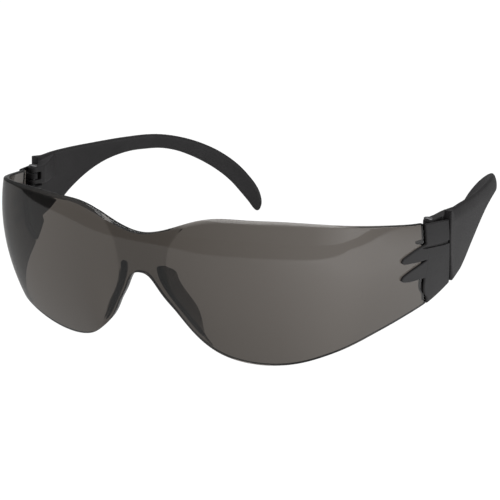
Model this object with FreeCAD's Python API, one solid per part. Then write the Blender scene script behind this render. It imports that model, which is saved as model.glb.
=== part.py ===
import FreeCAD, Part
import math
import os

# Safety glasses: one wrap-round tinted lens with its own nose flanges, a moulded
# end piece clamped on each end of the lens, and two temples on steel hinge pins.
#
# Units are millimetres.  The shape is laid out square to the wearer's face
# (+X the wearer's left, +Y towards the ears, +Z up, lens centre at the origin)
# and then tipped by TILT_DEG, so that it stands on the lower rims of the lens
# and on the two temple tips, with +Z straight up from the table.

# ---------------------------------------------------------------- dimensions
TILT_DEG = 8.13          # pitch between the face axes and the table
ORIGIN_Y = 70.54         # face-frame origin to the middle of the footprint
ORIGIN_Z = 30.92         # and up from the table

LENS_T_MID = 2.30        # lens thickness at the bridge
LENS_T_SIDE = 1.80       # and along the sides
LENS_INSET = 0.70        # lens skin below the outer skin of the end pieces
LENS_R_VERT = 60.7       # vertical radius of the lens
LENS_R_BRIDGE = 41.5     # and at the bridge
LENS_Z_MID = 7.68        # height of the most forward line of the lens
LENS_TONGUE_S = 97.0     # arc length where the clamped tongue ends

NOSE_DEPTH = 7.2         # how far the nose flanges reach back
NOSE_SPLAY_DEG = 28.0    # their splay from straight back
NOSE_T = 1.7             # their thickness

CLAW_T = 0.68            # thickness of the end piece's outer skin and claws
WALL_T = 0.70            # outer wall of the hinge housing
CLAMP_DEPTH = 3.55       # whole thickness of the clamp round the lens tongue
SLOT_PLAY = 0.02         # play of the tongue in its slot

TEMPLE_T = 2.50          # temple thickness
SEAM_GAP = 0.35          # gap between end piece and open temple

PIN_X = 69.90            # hinge pin axis, in the face frame
PIN_Y = 45.60
PIN_R = 0.75
PIN_PLAY = 0.05          # radial running clearance in the temple's knuckles
PIN_HEAD_R = 1.35
PIN_HEAD_H = 0.60
PIN_Z0 = 5.2             # foot of the pin, in the floor of the housing
KNUCKLE_R = 1.50
KNUCKLE_Z = (8.40, 9.90, 12.40, 14.20)   # lower knuckle, then upper knuckle
LUG_Z = (10.15, 12.15)   # the end piece's lug between them
FLOOR_Z = (7.45, 8.10)   # floor of the hinge housing
TONGUE_TOP_Z = 4.60      # top of the lens tongue held by the end piece

# Lens skin by arc length from the middle:
# arc, x, y, plan angle (deg), height of upper rim, height of lower rim
LENS = [
    (0.0, 0.000, 0.000, 0.000, 8.79, -3.34),
    (1.5, 1.500, 0.006, 0.451, 8.87, -3.53),
    (3.0, 3.000, 0.024, 0.934, 9.08, -4.42),
    (4.5, 4.500, 0.055, 1.473, 9.39, -6.38),
    (6.0, 5.999, 0.102, 2.088, 9.79, -8.87),
    (8.0, 7.997, 0.191, 3.032, 10.41, -11.66),
    (10.0, 9.993, 0.315, 4.115, 11.11, -14.09),
    (12.0, 11.986, 0.479, 5.306, 11.87, -16.75),
    (14.5, 14.472, 0.744, 6.873, 12.83, -19.69),
    (17.0, 16.949, 1.078, 8.449, 13.71, -21.95),
    (20.0, 19.909, 1.566, 10.252, 14.53, -24.12),
    (24.0, 23.831, 2.352, 12.372, 15.19, -26.38),
    (28.0, 27.724, 3.270, 14.081, 15.41, -27.81),
    (33.0, 32.555, 4.558, 15.694, 15.46, -28.71),
    (38.0, 37.352, 5.967, 17.041, 15.62, -28.88),
    (43.0, 42.114, 7.493, 18.586, 15.77, -28.42),
    (48.0, 46.823, 9.173, 20.852, 15.80, -27.40),
    (52.0, 50.526, 10.683, 23.718, 15.75, -26.21),
    (56.0, 54.126, 12.424, 28.205, 15.68, -24.83),
    (59.0, 56.711, 13.945, 32.956, 15.62, -23.77),
    (62.0, 59.142, 15.700, 38.822, 15.54, -22.76),
    (65.0, 61.368, 17.709, 45.363, 15.45, -21.82),
    (68.0, 63.347, 19.960, 52.006, 15.34, -20.90),
    (71.0, 65.060, 22.421, 58.185, 15.19, -19.96),
    (74.0, 66.519, 25.041, 63.390, 15.01, -18.99),
    (78.0, 68.141, 28.696, 68.373, 14.74, -17.64),
    (82.0, 69.509, 32.454, 71.395, 14.45, -16.27),
    (86.0, 70.718, 36.267, 73.298, 14.19, -14.90),
    (90.0, 71.818, 40.113, 74.728, 14.08, -13.54),
    (94.0, 72.829, 43.983, 75.978, 14.08, -12.19),
    (98.0, 73.758, 47.873, 77.156, 14.10, -10.34),
    (102.5, 74.708, 52.272, 78.470, 14.20, -6.41),
]

# Temple by length from the seam: length, x, y of the outer face in plan
TEMPLE = [
    (0.0, 74.718, 52.324),
    (6.4, 74.621, 58.723),
    (12.7, 74.268, 65.012),
    (19.1, 73.622, 71.379),
    (25.4, 72.738, 77.617),
    (31.8, 71.662, 83.925),
    (38.2, 70.434, 90.206),
    (44.5, 69.059, 96.354),
    (50.9, 67.442, 102.546),
    (57.2, 65.474, 108.529),
    (63.6, 62.950, 114.408),
    (70.0, 59.899, 120.031),
    (76.3, 56.424, 125.284),
    (82.7, 52.461, 130.306),
    (88.0, 48.881, 134.213),
    (92.0, 46.014, 137.002),
    (96.0, 43.012, 139.645),
    (100.0, 39.884, 142.137),
    (104.0, 36.647, 144.488),
]

# Edges of the temple blade as (length, height); between the front and the rear
# stretch both edges run level
TEMPLE_TOP_FRONT = [(1.7, 16.60), (6.4, 17.05), (12.7, 17.42), (19.1, 17.68), (25.4, 17.86),
                    (31.8, 18.05), (38.2, 18.25), (44.5, 18.39), (49.0, 18.43)]
TEMPLE_TOP_REAR = [(54.5, 18.43), (58.3, 18.27), (61.8, 17.94), (65.2, 17.45), (68.5, 16.80),
                   (71.8, 16.02), (75.0, 15.10), (78.2, 14.00), (81.3, 12.74), (84.4, 11.27),
                   (87.5, 9.47), (90.6, 7.38), (93.7, 4.78), (96.8, 1.55), (99.4, -1.75),
                   (100.8, -4.45), (101.5, -7.00)]
TEMPLE_TIP = [(101.5, -7.00), (101.55, -8.40), (101.2, -9.80), (100.5, -10.72), (99.75, -10.97),
              (99.0, -10.65), (98.2, -9.85), (97.0, -8.25)]
TEMPLE_LOW_REAR = [(97.0, -8.25), (95.4, -6.35), (93.8, -4.55), (90.6, -1.05), (87.5, 1.70),
                   (84.3, 4.02), (81.2, 5.95), (78.0, 7.67), (74.7, 9.22), (71.4, 10.55),
                   (68.1, 11.65), (64.7, 12.48), (61.3, 13.02), (57.7, 13.27), (54.5, 13.30)]
TEMPLE_LOW_FRONT = [(49.0, 13.30), (45.0, 13.02), (40.6, 12.42), (34.4, 11.08), (29.1, 9.30),
                    (24.3, 7.22), (20.0, 4.95), (16.1, 2.62), (12.7, 0.22), (10.2, -1.48),
                    (8.7, -2.42), (6.4, -3.42), (2.55, -5.40)]
LEVEL_CUT_Y = 103.5      # where the two stretches meet
REAR_SWING_DEG = 38.0    # direction, in plan, square to the rear stretch

# Outline of the end piece seen from the side, as (y, z)
SEAM = [(51.00, 13.90), (51.30, 9.50), (51.75, 5.50), (52.75, 0.50), (54.55, -5.55)]
EP_BOTTOM = [(54.55, -5.55), (50.60, -8.30), (46.35, -10.75)]
EP_FRONT_LOW = [(46.35, -10.75), (45.45, -8.85), (43.70, -7.20), (42.60, -5.20), (42.00, -2.30)]
CLAW2_LOW = [(42.00, -2.30), (39.00, -2.50), (36.00, -2.70), (33.40, -2.50)]
CLAW2_TIP = [(33.40, -2.50), (32.15, -1.75), (32.60, -0.60)]
CLAW2_TOP = [(32.60, -0.60), (35.70, 0.95), (38.90, 2.20), (41.60, 3.25)]
CLAW1_LOW = [(41.60, 3.25), (39.00, 3.00), (36.00, 2.90), (32.40, 2.95)]
CLAW1_TIP = [(32.40, 2.95), (31.20, 3.80), (31.70, 4.80)]
CLAW1_TOP = [(31.70, 4.80), (36.50, 6.85), (38.90, 7.60), (40.80, 8.10)]
EP_FRONT_TOP = [(40.80, 8.10), (40.25, 13.90)]
GROOVE = [(39.2, 7.02), (41.1, 7.28), (46.0, 7.50), (53.0, 7.95),
          (53.0, 6.95), (46.0, 6.72), (41.1, 6.70)]
GROOVE_DEPTH = 0.55


# ------------------------------------------------------------------- helpers
def vec(x, y, z):
    return FreeCAD.Vector(x, y, z)


class Spline:
    """Natural cubic through (x, y) pairs, straight beyond its ends."""

    def __init__(self, xs, ys, flat_start=False):
        n = len(xs)
        self.x, self.y = list(xs), list(ys)
        a, b, c, r = [0.0] * n, [1.0] * n, [0.0] * n, [0.0] * n
        for i in range(1, n - 1):
            h0, h1 = xs[i] - xs[i - 1], xs[i + 1] - xs[i]
            a[i], b[i], c[i] = h0, 2.0 * (h0 + h1), h1
            r[i] = 6.0 * ((ys[i + 1] - ys[i]) / h1 - (ys[i] - ys[i - 1]) / h0)
        if flat_start:                       # zero slope at the symmetry plane
            h = xs[1] - xs[0]
            b[0], c[0], r[0] = 2.0 * h, h, 6.0 * (ys[1] - ys[0]) / h
        for i in range(1, n):
            m = a[i] / b[i - 1]
            b[i] -= m * c[i - 1]
            r[i] -= m * r[i - 1]
        k = [0.0] * n
        k[-1] = r[-1] / b[-1]
        for i in range(n - 2, -1, -1):
            k[i] = (r[i] - c[i] * k[i + 1]) / b[i]
        self.k = k

    def __call__(self, t):
        x, y, k = self.x, self.y, self.k
        n = len(x)
        if t <= x[0]:
            h = x[1] - x[0]
            return y[0] + ((y[1] - y[0]) / h - h * (2 * k[0] + k[1]) / 6.0) * (t - x[0])
        if t >= x[-1]:
            h = x[-1] - x[-2]
            return y[-1] + ((y[-1] - y[-2]) / h + h * (k[-2] + 2 * k[-1]) / 6.0) * (t - x[-1])
        i = 0
        while i < n - 2 and t > x[i + 1]:
            i += 1
        h = x[i + 1] - x[i]
        u, v = (x[i + 1] - t) / h, (t - x[i]) / h
        return (u * y[i] + v * y[i + 1]
                + h * h / 6.0 * ((u ** 3 - u) * k[i] + (v ** 3 - v) * k[i + 1]))


def smooth(t):
    t = max(0.0, min(1.0, t))
    return t * t * (3.0 - 2.0 * t)


_col = list(zip(*LENS))
PX = Spline(_col[0], _col[1])
PY = Spline(_col[0], _col[2], True)
PTH = Spline(_col[0], _col[3])
ZTOP = Spline(_col[0], _col[4], True)
ZBOT = Spline(_col[0], _col[5], True)


def skin(s, z, depth):
    """Point at arc s and height z, depth mm inside the outer skin."""
    side = -1.0 if s < 0 else 1.0
    a = abs(s)
    th = math.radians(PTH(a))
    w = math.exp(-(a / 15.9) ** 4)
    c = (1.0 - w) / LENS_R_VERT + w / LENS_R_BRIDGE
    dz = z - LENS_Z_MID
    off, slope = c * dz * dz / 2.0, c * dz
    ln = math.sqrt(1.0 + slope * slope)
    n_in, n_up = 1.0 / ln, -slope / ln
    reach = off + depth * n_in
    return vec(side * (PX(a) - reach * math.sin(th)),
               PY(a) + reach * math.cos(th),
               z + depth * n_up)


def lens_depth(s):
    return LENS_INSET * smooth((abs(s) - 60.0) / 18.0)


def lens_thick(s):
    return LENS_T_MID + (LENS_T_SIDE - LENS_T_MID) * smooth(abs(s) / 75.0)


def surface(grid):
    bs = Part.BSplineSurface()
    bs.interpolate(grid)
    return bs


def thick(outer, inner):
    """Solid between two point grids of the same layout."""
    so, si = surface(outer), surface(inner)
    faces = [so.toShape(), si.toShape()]
    u0, u1, v0, v1 = so.bounds()
    p0, p1, q0, q1 = si.bounds()
    for eo, ei in ((so.uIso(u0), si.uIso(p0)), (so.uIso(u1), si.uIso(p1)),
                   (so.vIso(v0), si.vIso(q0)), (so.vIso(v1), si.vIso(q1))):
        faces.append(Part.makeRuledSurface(eo.toShape(), ei.toShape()))
    shell = Part.makeShell(faces)
    shell.sewShape()
    solid = Part.makeSolid(shell)
    if solid.Volume < 0:
        solid.reverse()
    if not solid.isValid():
        solid.fix(1e-4, 1e-4, 1e-4)
    return solid


def slab(d0, d1, s0, s1, z0, z1, ns=14, nz=8):
    """Curved slab between two depths under the outer skin (wearer's left)."""
    def grid(d):
        return [[skin(s0 + (s1 - s0) * i / ns, z0 + (z1 - z0) * j / nz, d)
                 for j in range(nz + 1)] for i in range(ns + 1)]
    return thick(grid(d0), grid(d1))


def curve(pts3):
    if len(pts3) == 2:
        return Part.makeLine(pts3[0], pts3[1])
    c = Part.BSplineCurve()
    c.interpolate(pts3)
    return c.toShape()


def side_prism(parts, x0, x1):
    """Prism along X of a closed side outline made of (y, z) runs."""
    edges = [curve([vec(x0, y, z) for y, z in run]) for run in parts]
    return Part.Face(Part.Wire(edges)).extrude(vec(x1 - x0, 0, 0))


def side_poly(pts, x0, x1):
    ring = [vec(x0, y, z) for y, z in pts]
    return Part.Face(Part.makePolygon(ring + ring[:1])).extrude(vec(x1 - x0, 0, 0))


def plan_poly(pts, z0, z1):
    ring = [vec(x, y, z0) for x, y in pts]
    return Part.Face(Part.makePolygon(ring + ring[:1])).extrude(vec(0, 0, z1 - z0))


def post(r, z0, z1):
    return Part.makeCylinder(r, z1 - z0, vec(PIN_X, PIN_Y, z0))


def one_solid(shape, name):
    solids = sorted(shape.Solids, key=lambda s: -s.Volume)
    for s in solids[1:]:
        print(name, "drops a sliver of", round(s.Volume, 4), "mm3")
    return solids[0]


def mirrored(shape):
    return shape.mirror(vec(0, 0, 0), vec(1, 0, 0))


def placed(shape):
    """From the face frame to the standing frame."""
    out = shape.copy()
    out.rotate(vec(0, 0, 0), vec(1, 0, 0), -TILT_DEG)
    out.translate(vec(0, -ORIGIN_Y, ORIGIN_Z))
    return out


# ---------------------------------------------------------------------- lens
arcs = [row[0] for row in LENS if row[0] < LENS_TONGUE_S - 1.0] + [LENS_TONGUE_S]
arcs = [-a for a in reversed(arcs[1:])] + arcs
rows = 8
outer, inner = [], []
for s in arcs:
    zt, zb = ZTOP(abs(s)), ZBOT(abs(s))
    d = lens_depth(s)
    t = lens_thick(s)
    outer.append([skin(s, zb + (zt - zb) * j / rows, d) for j in range(rows + 1)])
    inner.append([skin(s, zb + (zt - zb) * j / rows, d + t) for j in range(rows + 1)])
lens = thick(outer, inner)
print("lens blank", lens.isValid(), round(lens.Volume, 1))

# the upper corner gives way to the hinge housing, the lower one to the clamp
corner_top = side_poly([(41.20, TONGUE_TOP_Z), (70, TONGUE_TOP_Z), (70, 30), (39.42, 30)], 55, 90)
corner_low = side_poly([(46.9, -30), (46.9, -9.4), (50.0, -7.0), (60, -1.5), (60, -30)], 55, 90)
for cut in (corner_top, corner_low):
    lens = lens.cut(cut).cut(mirrored(cut))

# nose flanges: curved plates that grow out of the back of the lens beside the
# nose arch, splayed to lie on the sides of the nose
NOSE_EDGE = [  # height, arc where the flange stands, reach as a share of NOSE_DEPTH
    (-0.6, 4.30, 0.42), (-2.0, 4.35, 0.86), (-4.4, 4.75, 1.00), (-7.0, 5.85, 1.00), (-9.5, 7.40, 1.00),
    (-12.0, 9.20, 0.98), (-14.4, 11.10, 0.88), (-16.6, 12.80, 0.72), (-18.8, 14.60, 0.52),
    (-20.6, 16.30, 0.34), (-22.0, 17.80, 0.18)]
splay = math.radians(NOSE_SPLAY_DEG)
back = vec(math.sin(splay), math.cos(splay), 0)
across = vec(math.cos(splay), -math.sin(splay), 0)


def flange_face(shift):
    grid = []
    for z, s, share in NOSE_EDGE:
        root = skin(s, z, 1.1)
        line = []
        for k in range(4):
            q = root + across * (shift + 0.9) + back * (NOSE_DEPTH * share * k / 3.0)
            line.append(q)
        grid.append(line)
    return grid


flange = thick(flange_face(-NOSE_T / 2), flange_face(NOSE_T / 2))
print("flange", flange.isValid(), round(flange.Volume, 1))
lens = lens.fuse(flange).fuse(mirrored(flange))
lens = one_solid(lens, "lens")
print("lens", lens.isValid(), round(lens.Volume, 1))

# --------------------------------------------------------------- end pieces
outline = [EP_FRONT_TOP[::-1], CLAW1_TOP[::-1], CLAW1_TIP[::-1], CLAW1_LOW[::-1],
           CLAW2_TOP[::-1], CLAW2_TIP[::-1], CLAW2_LOW[::-1], EP_FRONT_LOW[::-1],
           EP_BOTTOM[::-1], SEAM[::-1], [(51.00, 13.90), (40.25, 13.90)]]
silhouette = side_prism(outline, 55, 90)


def end_slab(d0, d1):
    return slab(d0, d1, 76, 106, -17, 18, 20, 12)


end_piece = end_slab(0.0, CLAMP_DEPTH).common(silhouette)
claw_side = side_poly([(20, -30), (41.8, -30), (41.8, TONGUE_TOP_Z + SLOT_PLAY),
                       (41.23, TONGUE_TOP_Z + SLOT_PLAY), (39.45, 30), (20, 30)], 55, 90)
end_piece = end_piece.cut(end_slab(CLAW_T, 12.0).common(claw_side))
housing = side_poly([(38.0, FLOOR_Z[1]), (60, FLOOR_Z[1]), (60, 20), (38.0, 20)], 55, 90)
end_piece = end_piece.cut(end_slab(WALL_T, 12.0).common(housing))
pocket = end_slab(CLAW_T, LENS_INSET + LENS_T_SIDE + SLOT_PLAY).common(
    side_poly([(30, TONGUE_TOP_Z + SLOT_PLAY), (48.6, TONGUE_TOP_Z + SLOT_PLAY), (48.6, -8.2),
               (46.9, -9.45), (46.9, -30), (30, -30)], 55, 90))
end_piece = end_piece.cut(pocket)

deep = end_slab(0.4, 9.0)
floor_plate = deep.common(plan_poly([(66.9, 42.3), (67.4, 41.25), (76, 41.25), (76, 51.15),
                                     (70.2, 51.15), (67.4, 47.5)], *FLOOR_Z))
lug = post(KNUCKLE_R, *LUG_Z).fuse(
    deep.common(plan_poly([(PIN_X, PIN_Y - KNUCKLE_R), (76, PIN_Y - KNUCKLE_R),
                           (76, PIN_Y + KNUCKLE_R), (PIN_X, PIN_Y + KNUCKLE_R)], *LUG_Z)))
boss = post(1.55, 4.9, FLOOR_Z[0] + 0.1)
for extra in (floor_plate, lug, boss):
    end_piece = end_piece.fuse(extra)
end_piece = end_piece.cut(post(PIN_R, PIN_Z0, 20))
groove = end_slab(-0.5, GROOVE_DEPTH).common(side_poly(GROOVE, 55, 90))
end_piece = end_piece.cut(groove)
end_piece = one_solid(end_piece, "end piece")
print("end piece", end_piece.isValid(), round(end_piece.Volume, 1))

# ------------------------------------------------------------------- temples
TEMPLE_X = Spline([r[0] for r in TEMPLE], [r[1] for r in TEMPLE])
TEMPLE_Y = Spline([r[0] for r in TEMPLE], [r[2] for r in TEMPLE])


def temple_point(u, depth):
    """Plan point of the temple at length u, depth inside its outer face."""
    x, y = TEMPLE_X(u), TEMPLE_Y(u)
    dx, dy = TEMPLE_X(u + 0.05) - TEMPLE_X(u - 0.05), TEMPLE_Y(u + 0.05) - TEMPLE_Y(u - 0.05)
    ln = math.hypot(dx, dy)
    return x - depth * dy / ln, y + depth * dx / ln


def in_yz(run):
    return [(TEMPLE_Y(u), z) for u, z in run]


swing = math.radians(REAR_SWING_DEG)
out_dir = vec(math.cos(swing), math.sin(swing), 0)
along = vec(-math.sin(swing), math.cos(swing), 0)


def in_vz(run):
    """The same outline in the upright plane that faces the rear stretch."""
    pts = []
    for u, z in run:
        x, y = temple_point(u, TEMPLE_T / 2)
        pts.append((vec(x, y, 0).dot(along), z))
    return pts


def swung_prism(parts, w0, w1):
    edges = [curve([along * v + out_dir * w0 + vec(0, 0, z) for v, z in run]) for run in parts]
    return Part.Face(Part.Wire(edges)).extrude(out_dir * (w1 - w0))


seam_back = [(y + SEAM_GAP, z) for y, z in SEAM]
seam_back[0] = (seam_back[0][0] - 0.05, 16.50)
seam_back[-1] = (SEAM[-1][0] + SEAM_GAP, SEAM[-1][1] + 0.15)
front_top = [seam_back[0]] + in_yz(TEMPLE_TOP_FRONT)
front_low = in_yz(TEMPLE_LOW_FRONT)[:-1] + [seam_back[-1]]
front_profile = side_prism([front_top, [front_top[-1], (LEVEL_CUT_Y + 4, front_top[-1][1])],
                            [(LEVEL_CUT_Y + 4, front_top[-1][1]), (LEVEL_CUT_Y + 4, front_low[0][1])],
                            [(LEVEL_CUT_Y + 4, front_low[0][1]), front_low[0]],
                            front_low, seam_back[::-1]], 30, 95)
rear_top, rear_low = in_vz(TEMPLE_TOP_REAR), in_vz(TEMPLE_LOW_REAR)
v_start = in_vz([(46.0, 0.0)])[0][0]
rear_profile = swung_prism([[(v_start, rear_top[0][1]), rear_top[0]], rear_top, in_vz(TEMPLE_TIP),
                            rear_low, [rear_low[-1], (v_start, rear_low[-1][1])],
                            [(v_start, rear_low[-1][1]), (v_start, rear_top[0][1])]], 60, 190)


def temple_band(t):
    """Plan band of the temple, t mm thick inwards from its outer face."""
    out, inn = [], []
    for i in range(31):
        u = -3.0 + 109.0 * i / 30.0
        out.append(vec(*temple_point(u, 0.0), -20))
        inn.append(vec(*temple_point(u, t), -20))
    a, b = Part.BSplineCurve(), Part.BSplineCurve()
    a.interpolate(out)
    b.interpolate(inn)
    wire = Part.Wire([a.toShape(), Part.makeLine(out[-1], inn[-1]), b.toShape(),
                      Part.makeLine(inn[0], out[0])])
    return Part.Face(wire).extrude(vec(0, 0, 42))


band = temple_band(TEMPLE_T)
band_front = band.common(Part.makeBox(80, LEVEL_CUT_Y - 40, 60, vec(20, 40, -30)))
band_rear = band.common(Part.makeBox(80, 60, 60, vec(20, LEVEL_CUT_Y, -30)))
blade_front = band_front.common(front_profile)
blade_rear = band_rear.common(rear_profile)
print("blade", blade_front.isValid(), round(blade_front.Volume, 1),
      blade_rear.isValid(), round(blade_rear.Volume, 1))
temple = blade_front.fuse(blade_rear)
print("temple blade", temple.isValid(), round(temple.Volume, 1))
# hinge arm: two knuckles round the pin and the web that joins them to the blade
x_out = PIN_X + KNUCKLE_R
arm_plan = [(PIN_X - KNUCKLE_R, PIN_Y), (PIN_X - KNUCKLE_R, 50.0), (69.5, 54.5), (71.8, 60.5),
            (73.0, 60.5), (73.0, 52.35), (x_out + 0.45, 51.0), (x_out, 49.5), (x_out, PIN_Y)]
arm = plan_poly(arm_plan, KNUCKLE_Z[0], 18.0).fuse(post(KNUCKLE_R, KNUCKLE_Z[0], KNUCKLE_Z[3]))
arm_side = side_poly([(43.0, 8.40), (52.6, 8.40), (61.0, 9.2), (61.0, 16.4), (56.0, 15.6), (51.5, 14.6),
                      (48.5, 14.20), (43.0, 14.20)], 55, 90)
arm = arm.common(arm_side)
arm = arm.cut(plan_poly([(60, 40), (80, 40), (80, PIN_Y + 2.6), (60, PIN_Y + 2.6)], KNUCKLE_Z[1], KNUCKLE_Z[2]))
temple = temple.fuse(arm)
temple = temple.cut(post(PIN_R + PIN_PLAY, 0, 20))
temple = one_solid(temple, "temple")
print("temple", temple.isValid(), round(temple.Volume, 1))

# ---------------------------------------------------------------- hinge pins
pin_top = KNUCKLE_Z[3] + PIN_PLAY
pin = post(PIN_R, PIN_Z0, pin_top + 0.05).fuse(post(PIN_HEAD_R, pin_top, pin_top + PIN_HEAD_H))
try:
    rim = [e for e in pin.Edges if abs(e.BoundBox.ZMin - pin_top - PIN_HEAD_H) < 1e-4
           and abs(e.BoundBox.ZMax - pin_top - PIN_HEAD_H) < 1e-4]
    pin = pin.makeFillet(0.28, rim)
except Exception as err:
    print("pin head left square:", err)
pin = one_solid(pin, "pin")

# -------------------------------------------------------------------- output
nodes = {
    "lens": lens,
    "left_end_piece": end_piece,
    "right_end_piece": mirrored(end_piece),
    "left_temple": temple,
    "right_temple": mirrored(temple),
    "left_hinge_pin": pin,
    "right_hinge_pin": mirrored(pin),
}

os.makedirs("parts", exist_ok=True)
low, high = [1e9] * 3, [-1e9] * 3
for name, shape in nodes.items():
    body = placed(shape)
    solids = body.Solids
    box = body.optimalBoundingBox(False, False)
    lo, hi = (box.XMin, box.YMin, box.ZMin), (box.XMax, box.YMax, box.ZMax)
    low = [min(a, b) for a, b in zip(low, lo)]
    high = [max(a, b) for a, b in zip(high, hi)]
    print("%-16s solids %d valid %s volume %.1f  box %s %s" % (
        name, len(solids), body.isValid(), body.Volume,
        [round(v, 2) for v in lo], [round(v, 2) for v in hi]))
    body.exportStep("parts/%s.step" % name)
print("whole box", [round(v, 3) for v in low], [round(v, 3) for v in high])
t = math.radians(-TILT_DEG)
for z in (0.0, 11.4):
    y2 = PIN_Y * math.cos(t) - z * math.sin(t) - ORIGIN_Y
    z2 = PIN_Y * math.sin(t) + z * math.cos(t) + ORIGIN_Z
    print("pin axis point", round(PIN_X, 3), round(y2, 3), round(z2, 3))
print("pin axis direction", 0.0, round(-math.sin(t), 5), round(math.cos(t), 5))
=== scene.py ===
import math
import bmesh
import bpy
import numpy as np
from mathutils import Matrix, Vector


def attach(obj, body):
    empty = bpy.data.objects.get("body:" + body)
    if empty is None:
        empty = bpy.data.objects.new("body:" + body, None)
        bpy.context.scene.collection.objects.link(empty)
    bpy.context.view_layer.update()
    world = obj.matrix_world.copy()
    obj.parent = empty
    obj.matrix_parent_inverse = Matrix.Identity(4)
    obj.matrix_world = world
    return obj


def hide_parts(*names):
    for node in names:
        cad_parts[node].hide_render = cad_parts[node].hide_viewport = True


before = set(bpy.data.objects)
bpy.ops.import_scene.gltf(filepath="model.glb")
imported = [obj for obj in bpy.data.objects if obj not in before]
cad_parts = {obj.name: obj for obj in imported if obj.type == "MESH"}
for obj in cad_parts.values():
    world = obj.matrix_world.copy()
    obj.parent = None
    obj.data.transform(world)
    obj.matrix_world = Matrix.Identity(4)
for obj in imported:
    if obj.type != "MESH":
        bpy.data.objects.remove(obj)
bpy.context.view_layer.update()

# ------------------------------------------------------------------ dimensions
# All in millimetres in the face frame (+X wearer's left, +Y to the ears, +Z up,
# lens centre at the origin); to_frame() tips it onto the table and makes metres.
TILT = math.radians(8.13)
ORIGIN_Y, ORIGIN_Z = 70.54, 30.92

LENS_T_MID, LENS_T_SIDE, LENS_INSET = 2.30, 1.80, 0.70
LENS_R_VERT, LENS_R_BRIDGE, LENS_Z_MID = 60.7, 41.5, 7.68
TONGUE_S, TONGUE_TOP_Z = 97.0, 4.60
NOSE_DEPTH, NOSE_SPLAY, NOSE_T = 7.2, math.radians(28.0), 1.7
CLAW_T, WALL_T, CLAMP_DEPTH = 0.68, 0.70, 3.55
TEMPLE_T, SEAM_GAP = 2.50, 0.35
PIN_X, PIN_Y, PIN_R = 69.90, 45.60, 0.75
KNUCKLE_R = 1.50
KNUCKLE_Z = (8.40, 9.90, 12.40, 14.20)
LUG_Z, FLOOR_Z = (10.15, 12.15), (7.45, 8.10)

LENS = np.array([
    (0.0, 0.000, 0.000, 0.000, 8.79, -3.34), (1.5, 1.500, 0.006, 0.451, 8.87, -3.53),
    (3.0, 3.000, 0.024, 0.934, 9.08, -4.42), (4.5, 4.500, 0.055, 1.473, 9.39, -6.38),
    (6.0, 5.999, 0.102, 2.088, 9.79, -8.87), (8.0, 7.997, 0.191, 3.032, 10.41, -11.66),
    (10.0, 9.993, 0.315, 4.115, 11.11, -14.09), (12.0, 11.986, 0.479, 5.306, 11.87, -16.75),
    (14.5, 14.472, 0.744, 6.873, 12.83, -19.69), (17.0, 16.949, 1.078, 8.449, 13.71, -21.95),
    (20.0, 19.909, 1.566, 10.252, 14.53, -24.12), (24.0, 23.831, 2.352, 12.372, 15.19, -26.38),
    (28.0, 27.724, 3.270, 14.081, 15.41, -27.81), (33.0, 32.555, 4.558, 15.694, 15.46, -28.71),
    (38.0, 37.352, 5.967, 17.041, 15.62, -28.88), (43.0, 42.114, 7.493, 18.586, 15.77, -28.42),
    (48.0, 46.823, 9.173, 20.852, 15.80, -27.40), (52.0, 50.526, 10.683, 23.718, 15.75, -26.21),
    (56.0, 54.126, 12.424, 28.205, 15.68, -24.83), (59.0, 56.711, 13.945, 32.956, 15.62, -23.77),
    (62.0, 59.142, 15.700, 38.822, 15.54, -22.76), (65.0, 61.368, 17.709, 45.363, 15.45, -21.82),
    (68.0, 63.347, 19.960, 52.006, 15.34, -20.90), (71.0, 65.060, 22.421, 58.185, 15.19, -19.96),
    (74.0, 66.519, 25.041, 63.390, 15.01, -18.99), (78.0, 68.141, 28.696, 68.373, 14.74, -17.64),
    (82.0, 69.509, 32.454, 71.395, 14.45, -16.27), (86.0, 70.718, 36.267, 73.298, 14.19, -14.90),
    (90.0, 71.818, 40.113, 74.728, 14.08, -13.54), (94.0, 72.829, 43.983, 75.978, 14.08, -12.19),
    (98.0, 73.758, 47.873, 77.156, 14.10, -10.34), (102.5, 74.708, 52.272, 78.470, 14.20, -6.41)])

TEMPLE = np.array([
    (0.0, 74.718, 52.324),
    (6.4, 74.621, 58.723),
    (12.7, 74.268, 65.012),
    (19.1, 73.622, 71.379),
    (25.4, 72.738, 77.617),
    (31.8, 71.662, 83.925),
    (38.2, 70.434, 90.206),
    (44.5, 69.059, 96.354),
    (50.9, 67.442, 102.546),
    (57.2, 65.474, 108.529),
    (63.6, 62.950, 114.408),
    (70.0, 59.899, 120.031),
    (76.3, 56.424, 125.284),
    (82.7, 52.461, 130.306),
    (88.0, 48.881, 134.213),
    (92.0, 46.014, 137.002),
    (96.0, 43.012, 139.645),
    (100.0, 39.884, 142.137),
    (104.0, 36.647, 144.488)])

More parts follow.
